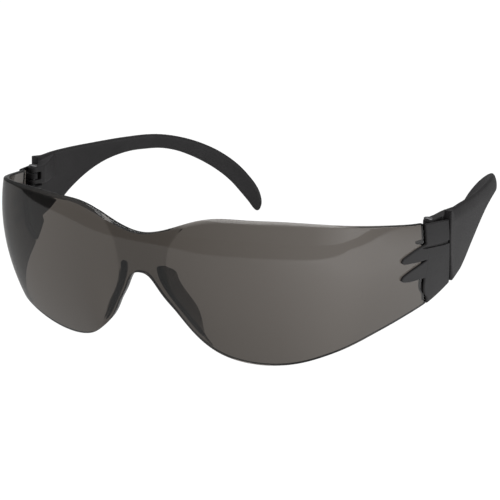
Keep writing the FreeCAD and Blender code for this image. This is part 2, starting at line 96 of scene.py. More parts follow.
# Edges of the temple blade as (length, height); between the front and the rear
# stretch both edges run level
TEMPLE_TOP_FRONT = [(1.7, 16.60), (6.4, 17.05), (12.7, 17.42), (19.1, 17.68), (25.4, 17.86),
                    (31.8, 18.05), (38.2, 18.25), (44.5, 18.39), (49.0, 18.43)]
TEMPLE_TOP_REAR = [(54.5, 18.43), (58.3, 18.27), (61.8, 17.94), (65.2, 17.45), (68.5, 16.80),
                   (71.8, 16.02), (75.0, 15.10), (78.2, 14.00), (81.3, 12.74), (84.4, 11.27),
                   (87.5, 9.47), (90.6, 7.38), (93.7, 4.78), (96.8, 1.55), (99.4, -1.75),
                   (100.8, -4.45), (101.5, -7.00)]
TEMPLE_TIP = [(101.5, -7.00), (101.55, -8.40), (101.2, -9.80), (100.5, -10.72), (99.75, -10.97),
              (99.0, -10.65), (98.2, -9.85), (97.0, -8.25)]
TEMPLE_LOW_REAR = [(97.0, -8.25), (95.4, -6.35), (93.8, -4.55), (90.6, -1.05), (87.5, 1.70),
                   (84.3, 4.02), (81.2, 5.95), (78.0, 7.67), (74.7, 9.22), (71.4, 10.55),
                   (68.1, 11.65), (64.7, 12.48), (61.3, 13.02), (57.7, 13.27), (54.5, 13.30)]
TEMPLE_LOW_FRONT = [(49.0, 13.30), (45.0, 13.02), (40.6, 12.42), (34.4, 11.08), (29.1, 9.30),
                    (24.3, 7.22), (20.0, 4.95), (16.1, 2.62), (12.7, 0.22), (10.2, -1.48),
                    (8.7, -2.42), (6.4, -3.42), (2.55, -5.40)]

SEAM = [(51.00, 13.90), (51.30, 9.50), (51.75, 5.50), (52.75, 0.50), (54.55, -5.55)]
EP_BOTTOM = [(54.55, -5.55), (50.60, -8.30), (46.35, -10.75)]
EP_FRONT_LOW = [(46.35, -10.75), (45.45, -8.85), (43.70, -7.20), (42.60, -5.20), (42.00, -2.30)]
CLAW2_LOW = [(42.00, -2.30), (39.00, -2.50), (36.00, -2.70), (33.40, -2.50)]
CLAW2_TIP = [(33.40, -2.50), (32.15, -1.75), (32.60, -0.60)]
CLAW2_TOP = [(32.60, -0.60), (35.70, 0.95), (38.90, 2.20), (41.60, 3.25)]
CLAW1_LOW = [(41.60, 3.25), (39.00, 3.00), (36.00, 2.90), (32.40, 2.95)]
CLAW1_TIP = [(32.40, 2.95), (31.20, 3.80), (31.70, 4.80)]
CLAW1_TOP = [(31.70, 4.80), (36.50, 6.85), (38.90, 7.60), (40.80, 8.10)]
EP_FRONT_TOP = [(40.80, 8.10), (40.25, 13.90)]
GROOVE = [(39.2, 7.02), (41.1, 7.28), (46.0, 7.50), (53.0, 7.95),
          (53.0, 6.95), (46.0, 6.72), (41.1, 6.70)]
NOSE_EDGE = np.array([
    (-0.6, 4.30, 0.42), (-2.0, 4.35, 0.86), (-4.4, 4.75, 1.00), (-7.0, 5.85, 1.00),
    (-9.5, 7.40, 1.00), (-12.0, 9.20, 0.98), (-14.4, 11.10, 0.88), (-16.6, 12.80, 0.72),
    (-18.8, 14.60, 0.52), (-20.6, 16.30, 0.34), (-22.0, 17.80, 0.18)])


# --------------------------------------------------------------------- helpers
class Spline:
    """Natural cubic, straight beyond its ends; works on arrays."""

    def __init__(self, xs, ys, flat_start=False):
        x, y = np.asarray(xs, float), np.asarray(ys, float)
        n = len(x)
        m, r = np.eye(n), np.zeros(n)
        h = np.diff(x)
        for i in range(1, n - 1):
            m[i, i - 1:i + 2] = h[i - 1], 2 * (h[i - 1] + h[i]), h[i]
            r[i] = 6 * ((y[i + 1] - y[i]) / h[i] - (y[i] - y[i - 1]) / h[i - 1])
        if flat_start:
            m[0, :2] = 2 * h[0], h[0]
            r[0] = 6 * (y[1] - y[0]) / h[0]
        self.x, self.y, self.h, self.k = x, y, h, np.linalg.solve(m, r)
        self.g0 = (y[1] - y[0]) / h[0] - h[0] * (2 * self.k[0] + self.k[1]) / 6
        self.g1 = (y[-1] - y[-2]) / h[-1] + h[-1] * (self.k[-2] + 2 * self.k[-1]) / 6

    def __call__(self, t):
        t = np.asarray(t, float)
        i = np.clip(np.searchsorted(self.x, t, side="right") - 1, 0, len(self.x) - 2)
        h = self.h[i]
        u, v = (self.x[i + 1] - t) / h, (t - self.x[i]) / h
        out = (u * self.y[i] + v * self.y[i + 1]
               + h * h / 6 * ((u ** 3 - u) * self.k[i] + (v ** 3 - v) * self.k[i + 1]))
        out = np.where(t < self.x[0], self.y[0] + self.g0 * (t - self.x[0]), out)
        return np.where(t > self.x[-1], self.y[-1] + self.g1 * (t - self.x[-1]), out)


def smooth(t):
    t = np.clip(t, 0.0, 1.0)
    return t * t * (3 - 2 * t)


PX, PY = Spline(LENS[:, 0], LENS[:, 1]), Spline(LENS[:, 0], LENS[:, 2], True)
PTH = Spline(LENS[:, 0], LENS[:, 3])
ZTOP, ZBOT = Spline(LENS[:, 0], LENS[:, 4], True), Spline(LENS[:, 0], LENS[:, 5], True)
TX, TY = Spline(TEMPLE[:, 0], TEMPLE[:, 1]), Spline(TEMPLE[:, 0], TEMPLE[:, 2])


def skin(s, z, depth):
    """Points at arc s, height z and depth inside the outer skin."""
    s, z, depth = np.broadcast_arrays(np.asarray(s, float), np.asarray(z, float), np.asarray(depth, float))
    a = np.abs(s)
    th = np.radians(PTH(a))
    w = np.exp(-(a / 15.9) ** 4)
    c = (1 - w) / LENS_R_VERT + w / LENS_R_BRIDGE
    dz = z - LENS_Z_MID
    slope = c * dz
    ln = np.sqrt(1 + slope * slope)
    reach = c * dz * dz / 2 + depth / ln
    return np.stack([np.where(s < 0, -1.0, 1.0) * (PX(a) - reach * np.sin(th)),
                     PY(a) + reach * np.cos(th), z - depth * slope / ln], -1)


def temple_map(u, z, d):
    """Points at length u along the temple, height z, depth d inside its outer face."""
    e = 0.05
    dx, dy = TX(u + e) - TX(u - e), TY(u + e) - TY(u - e)
    ln = np.hypot(dx, dy)
    return np.stack([TX(u) - d * dy / ln, TY(u) + d * dx / ln, z + 0 * u], -1)


def to_frame(p):
    p = np.asarray(p, float)
    c, s = math.cos(TILT), math.sin(TILT)
    return np.stack([p[..., 0], c * p[..., 1] + s * p[..., 2] - ORIGIN_Y,
                     -s * p[..., 1] + c * p[..., 2] + ORIGIN_Z], -1) / 1000.0


def mesh_object(name, verts, faces, smooth_faces=True):
    me = bpy.data.meshes.new(name)
    v = np.asarray(verts, np.float32)
    me.vertices.add(len(v))
    me.vertices.foreach_set("co", v.ravel())
    if isinstance(faces, np.ndarray):
        k = faces.shape[1]
        flat, sizes = faces.ravel(), np.full(len(faces), k)
    else:
        flat = np.concatenate([np.asarray(f) for f in faces])
        sizes = np.array([len(f) for f in faces])
    me.loops.add(len(flat))
    me.loops.foreach_set("vertex_index", flat.astype(np.int32))
    me.polygons.add(len(sizes))
    me.polygons.foreach_set("loop_start", np.concatenate([[0], np.cumsum(sizes)[:-1]]).astype(np.int32))
    me.polygons.foreach_set("loop_total", sizes.astype(np.int32))
    me.polygons.foreach_set("use_smooth", np.full(len(sizes), smooth_faces))
    me.update(calc_edges=True)
    me.validate()
    ob = bpy.data.objects.new(name, me)
    bpy.context.scene.collection.objects.link(ob)
    return ob


def flip_if_inside_out(ob):
    bm = bmesh.new()
    bm.from_mesh(ob.data)
    if bm.calc_volume(signed=True) < 0:
        bmesh.ops.reverse_faces(bm, faces=bm.faces)
    bm.to_mesh(ob.data)
    bm.free()


def mirrored_object(ob, name):
    me = ob.data.copy()
    me.name = name
    n = len(me.vertices)
    co = np.empty(n * 3, np.float32)
    me.vertices.foreach_get("co", co)
    co = co.reshape(-1, 3)
    co[:, 0] *= -1
    me.vertices.foreach_set("co", co.ravel())
    me.flip_normals()
    me.update()
    out = bpy.data.objects.new(name, me)
    bpy.context.scene.collection.objects.link(out)
    return out


def boolean(ob, tool, op):
    mod = ob.modifiers.new("b", "BOOLEAN")
    mod.operation = op
    mod.object = tool
    mod.solver = "EXACT"
    dg = bpy.context.evaluated_depsgraph_get()
    me = bpy.data.meshes.new_from_object(ob.evaluated_get(dg))
    ob.modifiers.remove(mod)
    old = ob.data
    ob.data = me
    bpy.data.meshes.remove(old)
    bpy.data.objects.remove(tool)


def smooth_by_angle(ob, deg):
    me = ob.data
    me.polygons.foreach_set("use_smooth", np.ones(len(me.polygons), bool))
    me.set_sharp_from_angle(angle=math.radians(deg))
    me.update()


def run(pts, n=10):
    """Natural spline through a run of points, sampled."""
    pts = np.asarray(pts, float)
    if len(pts) == 2:
        t = np.linspace(0, 1, n)[:, None]
        return pts[0] * (1 - t) + pts[1] * t
    d = np.concatenate([[0], np.cumsum(np.hypot(*np.diff(pts, axis=0).T))])
    a, b = Spline(d, pts[:, 0]), Spline(d, pts[:, 1])
    t = np.linspace(0, d[-1], n * (len(pts) - 1) + 1)
    return np.stack([a(t), b(t)], -1)


def outline(runs, n=10):
    out = [run(r, n)[:-1] for r in runs]
    return np.concatenate(out)


def poly_sdf(px, py, poly):
    """Signed distance (negative inside) from points to a closed polygon."""
    shape = px.shape
    x, y = px.ravel(), py.ravel()
    best = np.full(x.shape, 1e9)
    inside = np.zeros(x.shape, bool)
    q = np.roll(poly, -1, axis=0)
    for (x0, y0), (x1, y1) in zip(poly, q):
        ex, ey = x1 - x0, y1 - y0
        l2 = ex * ex + ey * ey
        if l2 < 1e-12:
            continue
        t = np.clip(((x - x0) * ex + (y - y0) * ey) / l2, 0, 1)
        best = np.minimum(best, (x - x0 - t * ex) ** 2 + (y - y0 - t * ey) ** 2)
        if y0 != y1:
            hit = ((y0 > y) != (y1 > y)) & (x < (x1 - x0) * (y - y0) / (y1 - y0) + x0)
            inside ^= hit
    d = np.sqrt(best)
    return np.where(inside, -d, d).reshape(shape)


def box1(v, lo, hi):
    return np.maximum(lo - v, v - hi)


def round_and(a, b, r):
    """Intersection of two fields with an edge radius."""
    return np.minimum(np.maximum(a, b), -r) + np.hypot(np.maximum(a + r, 0), np.maximum(b + r, 0))


def soft_or(a, b, k):
    h = np.maximum(k - np.abs(a - b), 0) / k
    return np.minimum(a, b) - h * h * k * 0.25


def surface_nets(f, axes):
    """Quads of the zero surface of a sampled field, in the axes' own units."""
    inside = f < 0
    nx, ny, nz = f.shape
    corner = [(i, j, k) for i in (0, 1) for j in (0, 1) for k in (0, 1)]

    def sub(a, i, j, k):
        return a[i:nx - 1 + i, j:ny - 1 + j, k:nz - 1 + k]

    n_in = sum(sub(inside, *c).astype(np.int8) for c in corner)
    active = (n_in > 0) & (n_in < 8)
    ci, cj, ck = np.nonzero(active)
    index = np.full(active.shape, -1, np.int64)
    index[ci, cj, ck] = np.arange(len(ci))
    pos, cnt = np.zeros((len(ci), 3)), np.zeros(len(ci))
    for a in corner:
        for ax in range(3):
            if a[ax]:
                continue
            b = list(a)
            b[ax] = 1
            va = f[ci + a[0], cj + a[1], ck + a[2]]
            vb = f[ci + b[0], cj + b[1], ck + b[2]]
            hit = (va < 0) != (vb < 0)
            t = np.where(hit, va / np.where(hit, va - vb, 1), 0)
            p = np.tile(np.array(a, float), (len(ci), 1))
            p[:, ax] = t
            pos += p * hit[:, None]
            cnt += hit
    pos = pos / cnt[:, None] + np.stack([ci, cj, ck], -1)
    quads = []
    for ax in range(3):
        o1, o2 = [(1, 2), (2, 0), (0, 1)][ax]
        sl_a = [slice(1, -1)] * 3
        sl_b = [slice(1, -1)] * 3
        sl_a[ax], sl_b[ax] = slice(0, -1), slice(1, None)
        a, b = inside[tuple(sl_a)], inside[tuple(sl_b)]
        w = np.nonzero(a != b)
        flip = a[w]
        g = [w[0] + 1, w[1] + 1, w[2] + 1]
        g[ax] = w[ax]

        def cell(d1, d2):
            c = [g[0].copy(), g[1].copy(), g[2].copy()]
            c[o1] -= d1
            c[o2] -= d2
            return index[c[0], c[1], c[2]]

        q = np.stack([cell(1, 1), cell(0, 1), cell(0, 0), cell(1, 0)], -1)
        q[~flip] = q[~flip][:, ::-1]
        quads.append(q)
    quads = np.concatenate(quads)
    quads = quads[(quads >= 0).all(1)]
    out = np.empty_like(pos)
    for ax in range(3):
        out[:, ax] = np.interp(pos[:, ax], np.arange(len(axes[ax])), axes[ax])
    return out, quads


def relax(verts, quads, rounds, amount=0.5):
    """A few volume-keeping smoothing steps over the quads' edges."""
    e = np.concatenate([quads[:, [0, 1]], quads[:, [1, 2]], quads[:, [2, 3]], quads[:, [3, 0]]])
    e = np.unique(np.sort(e, axis=1), axis=0)
    n = len(verts)
    deg = np.bincount(e.ravel(), minlength=n).astype(float)
    deg[deg == 0] = 1
    v = verts.copy()
    for k in range(rounds):
        for lam in (amount, -amount * 1.04):
            acc = np.zeros_like(v)
            for ax in range(3):
                acc[:, ax] = (np.bincount(e[:, 0], v[e[:, 1], ax], n) + np.bincount(e[:, 1], v[e[:, 0], ax], n))
            v = v + lam * (acc / deg[:, None] - v)
    return v


# ------------------------------------------------------------------------ lens
CREASE = Spline([-30.0, -16.0, -9.0, -5.5, -2.0, 0.5, 2.8, 5.4, 7.9, 10.5, 13.0, 17.0],
                [24.0, 15.2, 9.6, 8.4, 8.1, 8.3, 8.7, 9.4, 10.9, 12.9, 15.6, 20.5])


def lens_inner_extra(a, z):
    """The nose bridge is a little thicker than the eye zones, with a soft step."""
    return 0.30 * (1 - smooth((a - CREASE(z)) / 1.3 + 0.5))


def build_lens():
    a = np.concatenate([np.arange(0, 20, 0.35), np.arange(20, 50, 0.6), np.arange(50, TONGUE_S, 0.45),
                        [TONGUE_S]])
    cols = np.concatenate([-a[:0:-1], a])
    # one closed ring of samples per column: share of height, then rim profiles
    n_face = 74
    face_w = 0.5 - 0.5 * np.cos(np.linspace(0, math.pi, n_face))
    face_w = 0.55 * face_w + 0.45 * np.linspace(0, 1, n_face)
    rings = []
    for s in cols:
        aa = abs(s)
        zt, zb = float(ZTOP(aa)), float(ZBOT(aa))
        e = 0.2
        gt = (float(ZTOP(aa + e)) - float(ZTOP(max(aa - e, 0)))) / (aa + e - max(aa - e, 0))
        gb = (float(ZBOT(aa + e)) - float(ZBOT(max(aa - e, 0)))) / (aa + e - max(aa - e, 0))
        kt, kb = math.hypot(1, gt), math.hypot(1, gb)
        d0 = 0.002 + float(LENS_INSET * smooth((aa - 60.0) / 18.0))
        t = float(LENS_T_MID + (LENS_T_SIDE - LENS_T_MID) * smooth(aa / 75.0))
        # front bevel of the upper rim: wide over the eye, narrow at bridge and sides
        lip = 0.45 + 0.75 * float(smooth((aa - 6) / 12) * (1 - smooth((aa - 40) / 30)))
        lipd = 0.42 * t
        top = [(lip + 0.10, 0.0), (lip, 0.012), (lip - 0.10, 0.06), (lip * 0.62, 0.36 * lipd), (lip * 0.30, 0.70 * lipd),
               (0.14, 0.93 * lipd), (0.04, lipd + 0.03), (0.0, lipd + 0.14), (0.0, 0.60 * t), (0.0, t - 0.42),
               (0.04, t - 0.24), (0.14, t - 0.10), (0.28, t - 0.02), (0.42, t)]
        bot = [(0.42, t), (0.28, t - 0.02), (0.14, t - 0.10), (0.04, t - 0.24), (0.0, t - 0.42), (0.0, 0.60 * t),
               (0.0, 0.42), (0.04, 0.24), (0.14, 0.10), (0.28, 0.02), (0.42, 0.0)]
        zo0, zo1 = zb + 0.42 * kb, zt - (lip + 0.10) * kt
        zi0, zi1 = zb + 0.42 * kb, zt - 0.42 * kt
        ring = [(zo0 + (zo1 - zo0) * w, 0.0) for w in face_w[1:-1]]
        ring += [(zt - h * kt, d) for h, d in top]
        ring += [(zi1 + (zi0 - zi1) * w, t) for w in face_w[1:-1]]
        ring += [(zb + h * kb, d) for h, d in bot]
        ring = np.array(ring)
        z, d = ring[:, 0], ring[:, 1]
        extra = lens_inner_extra(aa, z) * smooth((d / t - 0.35) / 0.65)
        # hold the rims clear of the seam with the end piece's cut
        rings.append(skin(np.full(len(z), s), z, d0 + d + extra))
    rings = np.array(rings)
    nc, nr = rings.shape[:2]
    verts = to_frame(rings.reshape(-1, 3))
    i, j = np.meshgrid(np.arange(nc - 1), np.arange(nr), indexing="ij")
    i, j = i.ravel(), j.ravel()
    k = (j + 1) % nr
    faces = [list(q) for q in np.stack([i * nr + j, i * nr + k, (i + 1) * nr + k, (i + 1) * nr + j], -1)]
    faces.append(list(range(nr))[::-1])
    faces.append(list((nc - 1) * nr + np.arange(nr)))
    ob = mesh_object("tinted_lens", verts, faces)
    flip_if_inside_out(ob)
    return ob


def prism_yz(name, pts, x0, x1):
    n = len(pts)
    v = [(x0, y, z) for y, z in pts] + [(x1, y, z) for y, z in pts]
    f = [list(range(n))[::-1], list(range(n, 2 * n))] + [[i, (i + 1) % n, n + (i + 1) % n, n + i] for i in range(n)]
    ob = mesh_object(name, to_frame(np.array(v)), f, False)
    flip_if_inside_out(ob)
    return ob


def build_flange(side):
    """Nose flange: a curved plate with full round rims, rooted inside the lens."""
    zz, ss, sh = Spline(-NOSE_EDGE[:, 0], NOSE_EDGE[:, 0]), Spline(-NOSE_EDGE[:, 0], NOSE_EDGE[:, 1]), Spline(
        -NOSE_EDGE[:, 0], NOSE_EDGE[:, 2])
    q = np.linspace(0.6, 22.0, 60)
    back = np.array([math.sin(NOSE_SPLAY), math.cos(NOSE_SPLAY), 0])
    across = np.array([math.cos(NOSE_SPLAY), -math.sin(NOSE_SPLAY), 0])
    rings = []
    for i, t in enumerate(q):
        root = skin(float(ss(t)), float(zz(t)), 1.1) + across * 0.9
        reach = NOSE_DEPTH * float(sh(t))
        # half thickness fades to nothing at both ends so that the rims are round
        end = min(t - q[0], q[-1] - t)
        half = NOSE_T / 2 * math.sqrt(max(0.02, 1 - max(0.0, 1 - end / 0.9) ** 2))
        half *= 1.0 - 0.30 * smooth((t - 12) / 10)
        r = min(half, reach * 0.9)
        ring = []
        for b in (0.0, 0.25, 0.5, 0.75, 0.9):
            ring.append((half * (1.15 - 0.15 * b), (reach - r) * b))
        for ang in np.linspace(0, math.pi, 11):
            ring.append((half * math.cos(ang), reach - r + r * math.sin(ang)))
        for b in (0.9, 0.75, 0.5, 0.25, 0.0):
            ring.append((-half * (1.15 - 0.15 * b), (reach - r) * b))
        rings.append([root + across * w + back * b for w, b in ring])
    rings = np.array(rings)
    rings[..., 0] *= side
    nc, nr = rings.shape[:2]
    verts = to_frame(rings.reshape(-1, 3))
    faces = []
    for i in range(nc - 1):
        for j in range(nr):
            k = (j + 1) % nr
            faces.append([i * nr + j, i * nr + k, (i + 1) * nr + k, (i + 1) * nr + j])
    faces.append(list(range(nr))[::-1])
    faces.append(list(range((nc - 1) * nr, nc * nr)))
    ob = mesh_object("flange", verts, faces)
    flip_if_inside_out(ob)
    return ob


lens = build_lens()
for sx in (1, -1):
    x0, x1 = (55, 90) if sx > 0 else (-90, -55)
    boolean(lens, prism_yz("cut", [(41.20, TONGUE_TOP_Z), (70, TONGUE_TOP_Z), (70, 30), (39.42, 30)], x0, x1), "DIFFERENCE")
    boolean(lens, prism_yz("cut", [(46.9, -30), (46.9, -9.4), (50.0, -7.0), (60, -1.5), (60, -30)], x0, x1), "DIFFERENCE")
for sx in (1, -1):
    boolean(lens, build_flange(sx), "UNION")
smooth_by_angle(lens, 32)


# ------------------------------------------------------------------ end pieces
def s_of(y, z):
    """Arc length at which the outer skin has this y at this height."""
    y, z = np.asarray(y, float), np.asarray(z, float)
    g = np.linspace(60, 112, 2000)
    gy, gc = PY(g), np.cos(np.radians(PTH(g)))
    s = np.interp(y, gy, g)
    for _ in range(3):
        off = (z - LENS_Z_MID) ** 2 / (2 * LENS_R_VERT)
        s = np.interp(y - off * np.interp(s, g, gc), gy, g)
    return s


def to_sz(poly):
    poly = np.asarray(poly, float)
    return np.stack([s_of(poly[:, 0], poly[:, 1]), poly[:, 1]], -1)


def build_end_piece():
    h = 0.16
    S = np.arange(76.0, 106.5, h)
    Z = np.arange(-12.2, 15.2, h)
    D = np.arange(-0.5, 7.9, h)
    s2, z2 = np.meshgrid(S, Z, indexing="ij")
    s3, z3, d3 = np.meshgrid(S, Z, D, indexing="ij")
    whole = outline([EP_FRONT_TOP[::-1], CLAW1_TOP[::-1], CLAW1_TIP[::-1], CLAW1_LOW[::-1], CLAW2_TOP[::-1],
                     CLAW2_TIP[::-1], CLAW2_LOW[::-1], EP_FRONT_LOW[::-1], EP_BOTTOM[::-1], SEAM[::-1],
                     [(51.00, 13.90), (40.25, 13.90)]])
    p_all = poly_sdf(s2, z2, to_sz(whole))[..., None]
    block = outline([[(40.75, 13.90), (41.25, TONGUE_TOP_Z)], [(41.25, TONGUE_TOP_Z), (41.8, TONGUE_TOP_Z)],
                     [(41.8, TONGUE_TOP_Z), (42.0, -2.3)], EP_FRONT_LOW[::-1], EP_BOTTOM[::-1], SEAM[::-1],
                     [(51.00, 13.90), (40.75, 13.90)]])
    p_block = poly_sdf(s2, z2, to_sz(block))[..., None]
    f = np.maximum(round_and(p_all, box1(d3, 0.0, 4.0), 0.34), d3 - CLAW_T)
    f = soft_or(f, round_and(p_block, box1(d3, 0.0, CLAMP_DEPTH), 0.34), 0.12)
    # hinge housing, open to the inside and the top
    f = np.maximum(f, -np.maximum(FLOOR_Z[1] - z3, WALL_T - d3))
    # slot for the lens tongue
    pocket = outline([[(30, 4.62), (48.6, 4.62)], [(48.6, 4.62), (48.6, -8.2)], [(48.6, -8.2), (46.9, -9.45)],
                      [(46.9, -9.45), (46.9, -30)], [(46.9, -30), (30, -30)], [(30, -30), (30, 4.62)]], 3)
    p_pocket = poly_sdf(s2, z2, to_sz(pocket))[..., None]
    f = np.maximum(f, -np.maximum(p_pocket, box1(d3, CLAW_T, LENS_INSET + LENS_T_SIDE + 0.02)))
    # floor, lug and boss round the pin, in true X and Y
    xyz = skin(s3, z3, d3)
    x3, y3, zz3 = xyz[..., 0], xyz[..., 1], xyz[..., 2]
    floor_poly = np.array([(66.9, 42.3), (67.4, 41.30), (76, 41.30), (76, 51.05), (70.2, 51.05), (67.4, 47.5)])
    p_floor = poly_sdf(x3[:, ::8, :], y3[:, ::8, :], floor_poly)
    p_floor = np.repeat(p_floor, 8, axis=1)[:, :len(Z), :]
    fl = round_and(np.maximum(p_floor, 0.35 - d3), box1(zz3, *FLOOR_Z), 0.12)
    f = soft_or(f, fl, 0.25)
    axis = np.hypot(x3 - PIN_X, y3 - PIN_Y)
    lug = np.minimum(axis - KNUCKLE_R,
                     np.maximum(np.maximum(np.abs(y3 - PIN_Y) - KNUCKLE_R + 0.15, PIN_X - x3), 0.3 - d3))
    f = soft_or(f, round_and(lug, box1(zz3, *LUG_Z), 0.15), 0.3)
    f = soft_or(f, round_and(axis - 1.55, box1(zz3, 4.9, FLOOR_Z[0]), 0.3), 0.2)
    f = np.maximum(f, -np.maximum(axis - PIN_R - 0.01, 5.2 - zz3))
    # groove across the outer face
    p_groove = poly_sdf(s2, z2, to_sz(np.array(GROOVE)))[..., None]
    f = np.maximum(f, -np.maximum(p_groove, d3 - 0.50))
    # the seam face runs square to the side, so it keeps its gap all the way in
    seam_z = [z for y, z in SEAM[::-1]]
    seam_y = [y for y, z in SEAM[::-1]]
    f = np.maximum(f, y3 - np.interp(zz3, seam_z, seam_y))
    v, q = surface_nets(f, (S, Z, D))
    v = relax(v, q, 3)
    pts = to_frame(skin(v[:, 0], v[:, 1], v[:, 2]))
    ob = mesh_object("end_piece_left", pts, q)
    flip_if_inside_out(ob)
    return ob


ep_left = build_end_piece()
ep_right = mirrored_object(ep_left, "end_piece_right")
for o in (ep_left, ep_right):
    smooth_by_angle(o, 60)


# --------------------------------------------------------------------- temples
def build_temple():
    h = 0.22
    U = np.arange(-10.5, 102.8, h)
    Z = np.arange(-12.2, 19.8, h)
    D = np.arange(-0.6, 8.2, h)
    gu = np.linspace(-14, 60, 1200)
    gy = TY(gu)
    seam = [(float(np.interp(y + SEAM_GAP, gy, gu)), z) for y, z in SEAM]
    seam[0] = (seam[0][0] - 0.05, 16.50)
    seam[-1] = (seam[-1][0], SEAM[-1][1] + 0.50)
    top = [seam[0]] + TEMPLE_TOP_FRONT + TEMPLE_TOP_REAR
    low = [seam[-1]] + TEMPLE_LOW_FRONT[::-1][1:] + TEMPLE_LOW_REAR[::-1]
    poly = outline([top, TEMPLE_TIP, low[::-1], seam[::-1]], 6)
    u2, z2 = np.meshgrid(U, Z, indexing="ij")
    p = poly_sdf(u2, z2, poly)
    # distance below the upper edge, for its rounded crest and the rolled shoulder
    edge = run(top + TEMPLE_TIP[1:3], 10)
    below = np.full(u2.shape, 1e3)
    for a, b in zip(edge[:-1], edge[1:]):
        ax, az = b[0] - a[0], b[1] - a[1]
        t = np.clip(((u2 - a[0]) * ax + (z2 - a[1]) * az) / (ax * ax + az * az + 1e-9), 0, 1)
        below = np.minimum(below, np.hypot(u2 - a[0] - t * ax, z2 - a[1] - t * az))
    fade = smooth((U + 1.0) / 3.0)[:, None]
    roll = 1.15 * np.clip(1 - below / 3.9, 0, 1) ** 2 * fade
    inner_roll = 0.40 * np.clip(1 - below / 1.6, 0, 1) ** 2 * fade
    d3 = D[None, None, :]
    thin = (0.25 * smooth((U - 60) / 40))[:, None]
    slab = np.maximum(roll[..., None] - d3, d3 - (TEMPLE_T - thin - inner_roll)[..., None])
    f = round_and(p[..., None] + 0 * d3, slab, 0.70)
    crisp = round_and(p[..., None] + 0 * d3, slab, 0.25)
    w = smooth((U - 0.8) / 2.4)[:, None, None]
    f = f * w + crisp * (1 - w)
    # hinge arm with its two knuckles
    n_arm = int(np.searchsorted(U, 12.0))
    ua = U[:n_arm]
    xy = temple_map(ua[:, None] + 0 * D[None, :], 0.0, D[None, :] + 0 * ua[:, None])
    x2, y2 = xy[..., 0], xy[..., 1]
    x_out = PIN_X + KNUCKLE_R
    arm_plan = np.array([(PIN_X - KNUCKLE_R, PIN_Y), (PIN_X - KNUCKLE_R, 50.0), (69.5, 54.5), (71.8, 60.5),
                         (73.0, 60.5), (73.0, 52.75), (x_out + 0.45, 51.2), (x_out, 49.5), (x_out, PIN_Y)])
    plan = np.minimum(poly_sdf(x2, y2, arm_plan), np.hypot(x2 - PIN_X, y2 - PIN_Y) - KNUCKLE_R)
    side = np.array([(43.0, 8.40), (52.6, 8.40), (61.0, 9.2), (61.0, 16.4), (56.0, 15.6), (51.5, 14.6),
                     (48.5, 14.20), (43.0, 14.20)])
    yy = y2[:, None, :] + 0 * Z[None, :, None]
    zz = Z[None, :, None] + 0 * yy
    p_side = poly_sdf(yy[:, :, 16:17], zz[:, :, 16:17], side)
    arm = round_and(plan[:, None, :] + 0 * zz, p_side + 0 * zz, 0.3)
    slot = np.maximum(box1(zz, KNUCKLE_Z[1], KNUCKLE_Z[2]), yy - PIN_Y - 2.6)
    arm = np.maximum(arm, -slot)
    f[:n_arm] = soft_or(f[:n_arm], arm, 0.6)
    bore = np.hypot(x2 - PIN_X, y2 - PIN_Y)[:, None, :] - PIN_R - 0.05
    f[:n_arm] = np.maximum(f[:n_arm], -(bore + 0 * zz))
    v, q = surface_nets(f, (U, Z, D))
    v = relax(v, q, 3)
    pts = to_frame(temple_map(v[:, 0], v[:, 1], v[:, 2]))
    ob = mesh_object("temple_left", pts, q)
    flip_if_inside_out(ob)
    return ob


t_left = build_temple()
t_right = mirrored_object(t_left, "temple_right")
for o in (t_left, t_right):
    smooth_by_angle(o, 60)


# ------------------------------------------------------------------- materials
def new_material(name):
    m = bpy.data.materials.new(name)
    m.use_nodes = True
    nt = m.node_tree
    nt.nodes.clear()
    out = nt.nodes.new("ShaderNodeOutputMaterial")
    return m, nt, out


def node(nt, kind, **values):
    n = nt.nodes.new(kind)
    for k, v in values.items():
        if k in n.inputs:
            n.inputs[k].default_value = v
        else:
            setattr(n, k, v)
    return n


def noise(nt, coord, scale, detail=3.0, rough=0.55, dist=0.0):
    n = nt.nodes.new("ShaderNodeTexNoise")
    n.inputs["Scale"].default_value = scale
    n.inputs["Detail"].default_value = detail
    n.inputs["Roughness"].default_value = rough
    n.inputs["Distortion"].default_value = dist
    nt.links.new(coord, n.inputs["Vector"])
    return n


def remap(nt, value, a, b, lo, hi):
    n = nt.nodes.new("ShaderNodeMapRange")
    n.inputs["From Min"].default_value = a
    n.inputs["From Max"].default_value = b
    n.inputs["To Min"].default_value = lo
    n.inputs["To Max"].default_value = hi
    nt.links.new(value, n.inputs["Value"])
    return n.outputs["Result"]


def lens_material():
    m, nt, out = new_material("tinted_polycarbonate")
    bs = nt.nodes.new("ShaderNodeBsdfPrincipled")
    bs.inputs["Base Color"].default_value = (1, 1, 1, 1)
    bs.inputs["Transmission Weight"].default_value = 1.0
    bs.inputs["IOR"].default_value = 1.586
    co = nt.nodes.new("ShaderNodeTexCoord").outputs["Object"]
    haze = noise(nt, co, 45.0, 2.0)
    fine = noise(nt, co, 900.0, 2.0)
    mix = nt.nodes.new("ShaderNodeMath")
    mix.operation = "MULTIPLY"
    nt.links.new(haze.outputs["Fac"], mix.inputs[0])
    nt.links.new(fine.outputs["Fac"], mix.inputs[1])
    nt.links.new(remap(nt, mix.outputs[0], 0.1, 0.5, 0.004, 0.035), bs.inputs["Roughness"])
    bump = nt.nodes.new("ShaderNodeBump")
    bump.inputs["Strength"].default_value = 0.06
    bump.inputs["Distance"].default_value = 0.0002
    nt.links.new(noise(nt, co, 60.0, 1.0).outputs["Fac"], bump.inputs["Height"])
    nt.links.new(bump.outputs["Normal"], bs.inputs["Normal"])
    vol = nt.nodes.new("ShaderNodeVolumeAbsorption")
    vol.inputs["Color"].default_value = (0.093, 0.047, 0.0, 1)
    vol.inputs["Density"].default_value = 1145.0
    nt.links.new(bs.outputs["BSDF"], out.inputs["Surface"])
    nt.links.new(vol.outputs["Volume"], out.inputs["Volume"])
    return m


